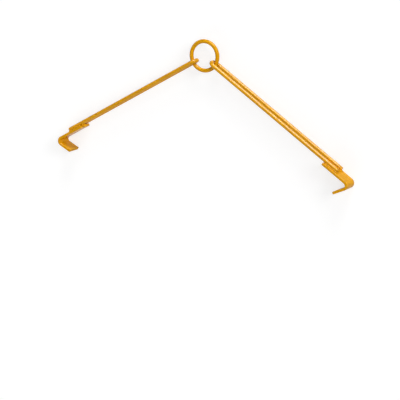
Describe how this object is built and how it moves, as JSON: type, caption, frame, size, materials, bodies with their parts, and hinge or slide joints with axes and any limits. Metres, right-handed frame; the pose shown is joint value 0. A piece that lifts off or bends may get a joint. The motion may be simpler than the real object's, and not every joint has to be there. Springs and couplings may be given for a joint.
{
  "type": "drum lifter",
  "caption": "Hanging lifter for drums: a round-bar ring carries swinging arms of rod bent into hairpins, each welded to a bent flat-bar hook that grips a rim.",
  "frame": {"origin": "centre of the ring's eye, about which both arms swing", "axes": "+X across the spread of the arms, +Y from the hooks to the crown of the ring, which is up when the lifter hangs in use, +Z square to the plane of the ring and up here, where the lifter lies on its side"},
  "size_m": [0.9856, 0.3975, 0.05],
  "materials": {
    "painted_steel": "gloss"
  },
  "bodies": {
    "ring": {"master_ring": "painted_steel", "ring_weld": "painted_steel"},
    "left_arm": {"left_rod": "painted_steel", "left_hook": "painted_steel", "left_front_weld": "painted_steel", "left_rear_weld": "painted_steel"},
    "right_arm": {"right_rod": "painted_steel", "right_hook": "painted_steel", "right_front_weld": "painted_steel", "right_rear_weld": "painted_steel"}
  },
  "joints": [
    {"name": "left_arm_swing", "type": "hinge", "parent": "ring", "child": "left_arm", "pos_m": [0, 0, 0], "axis": [0, 0, 1], "range_deg": [-76.5, 46]},
    {"name": "right_arm_swing", "type": "hinge", "parent": "ring", "child": "right_arm", "pos_m": [0, 0, 0], "axis": [0, 0, 1], "range_deg": [-46, 76.5]}
  ]
}
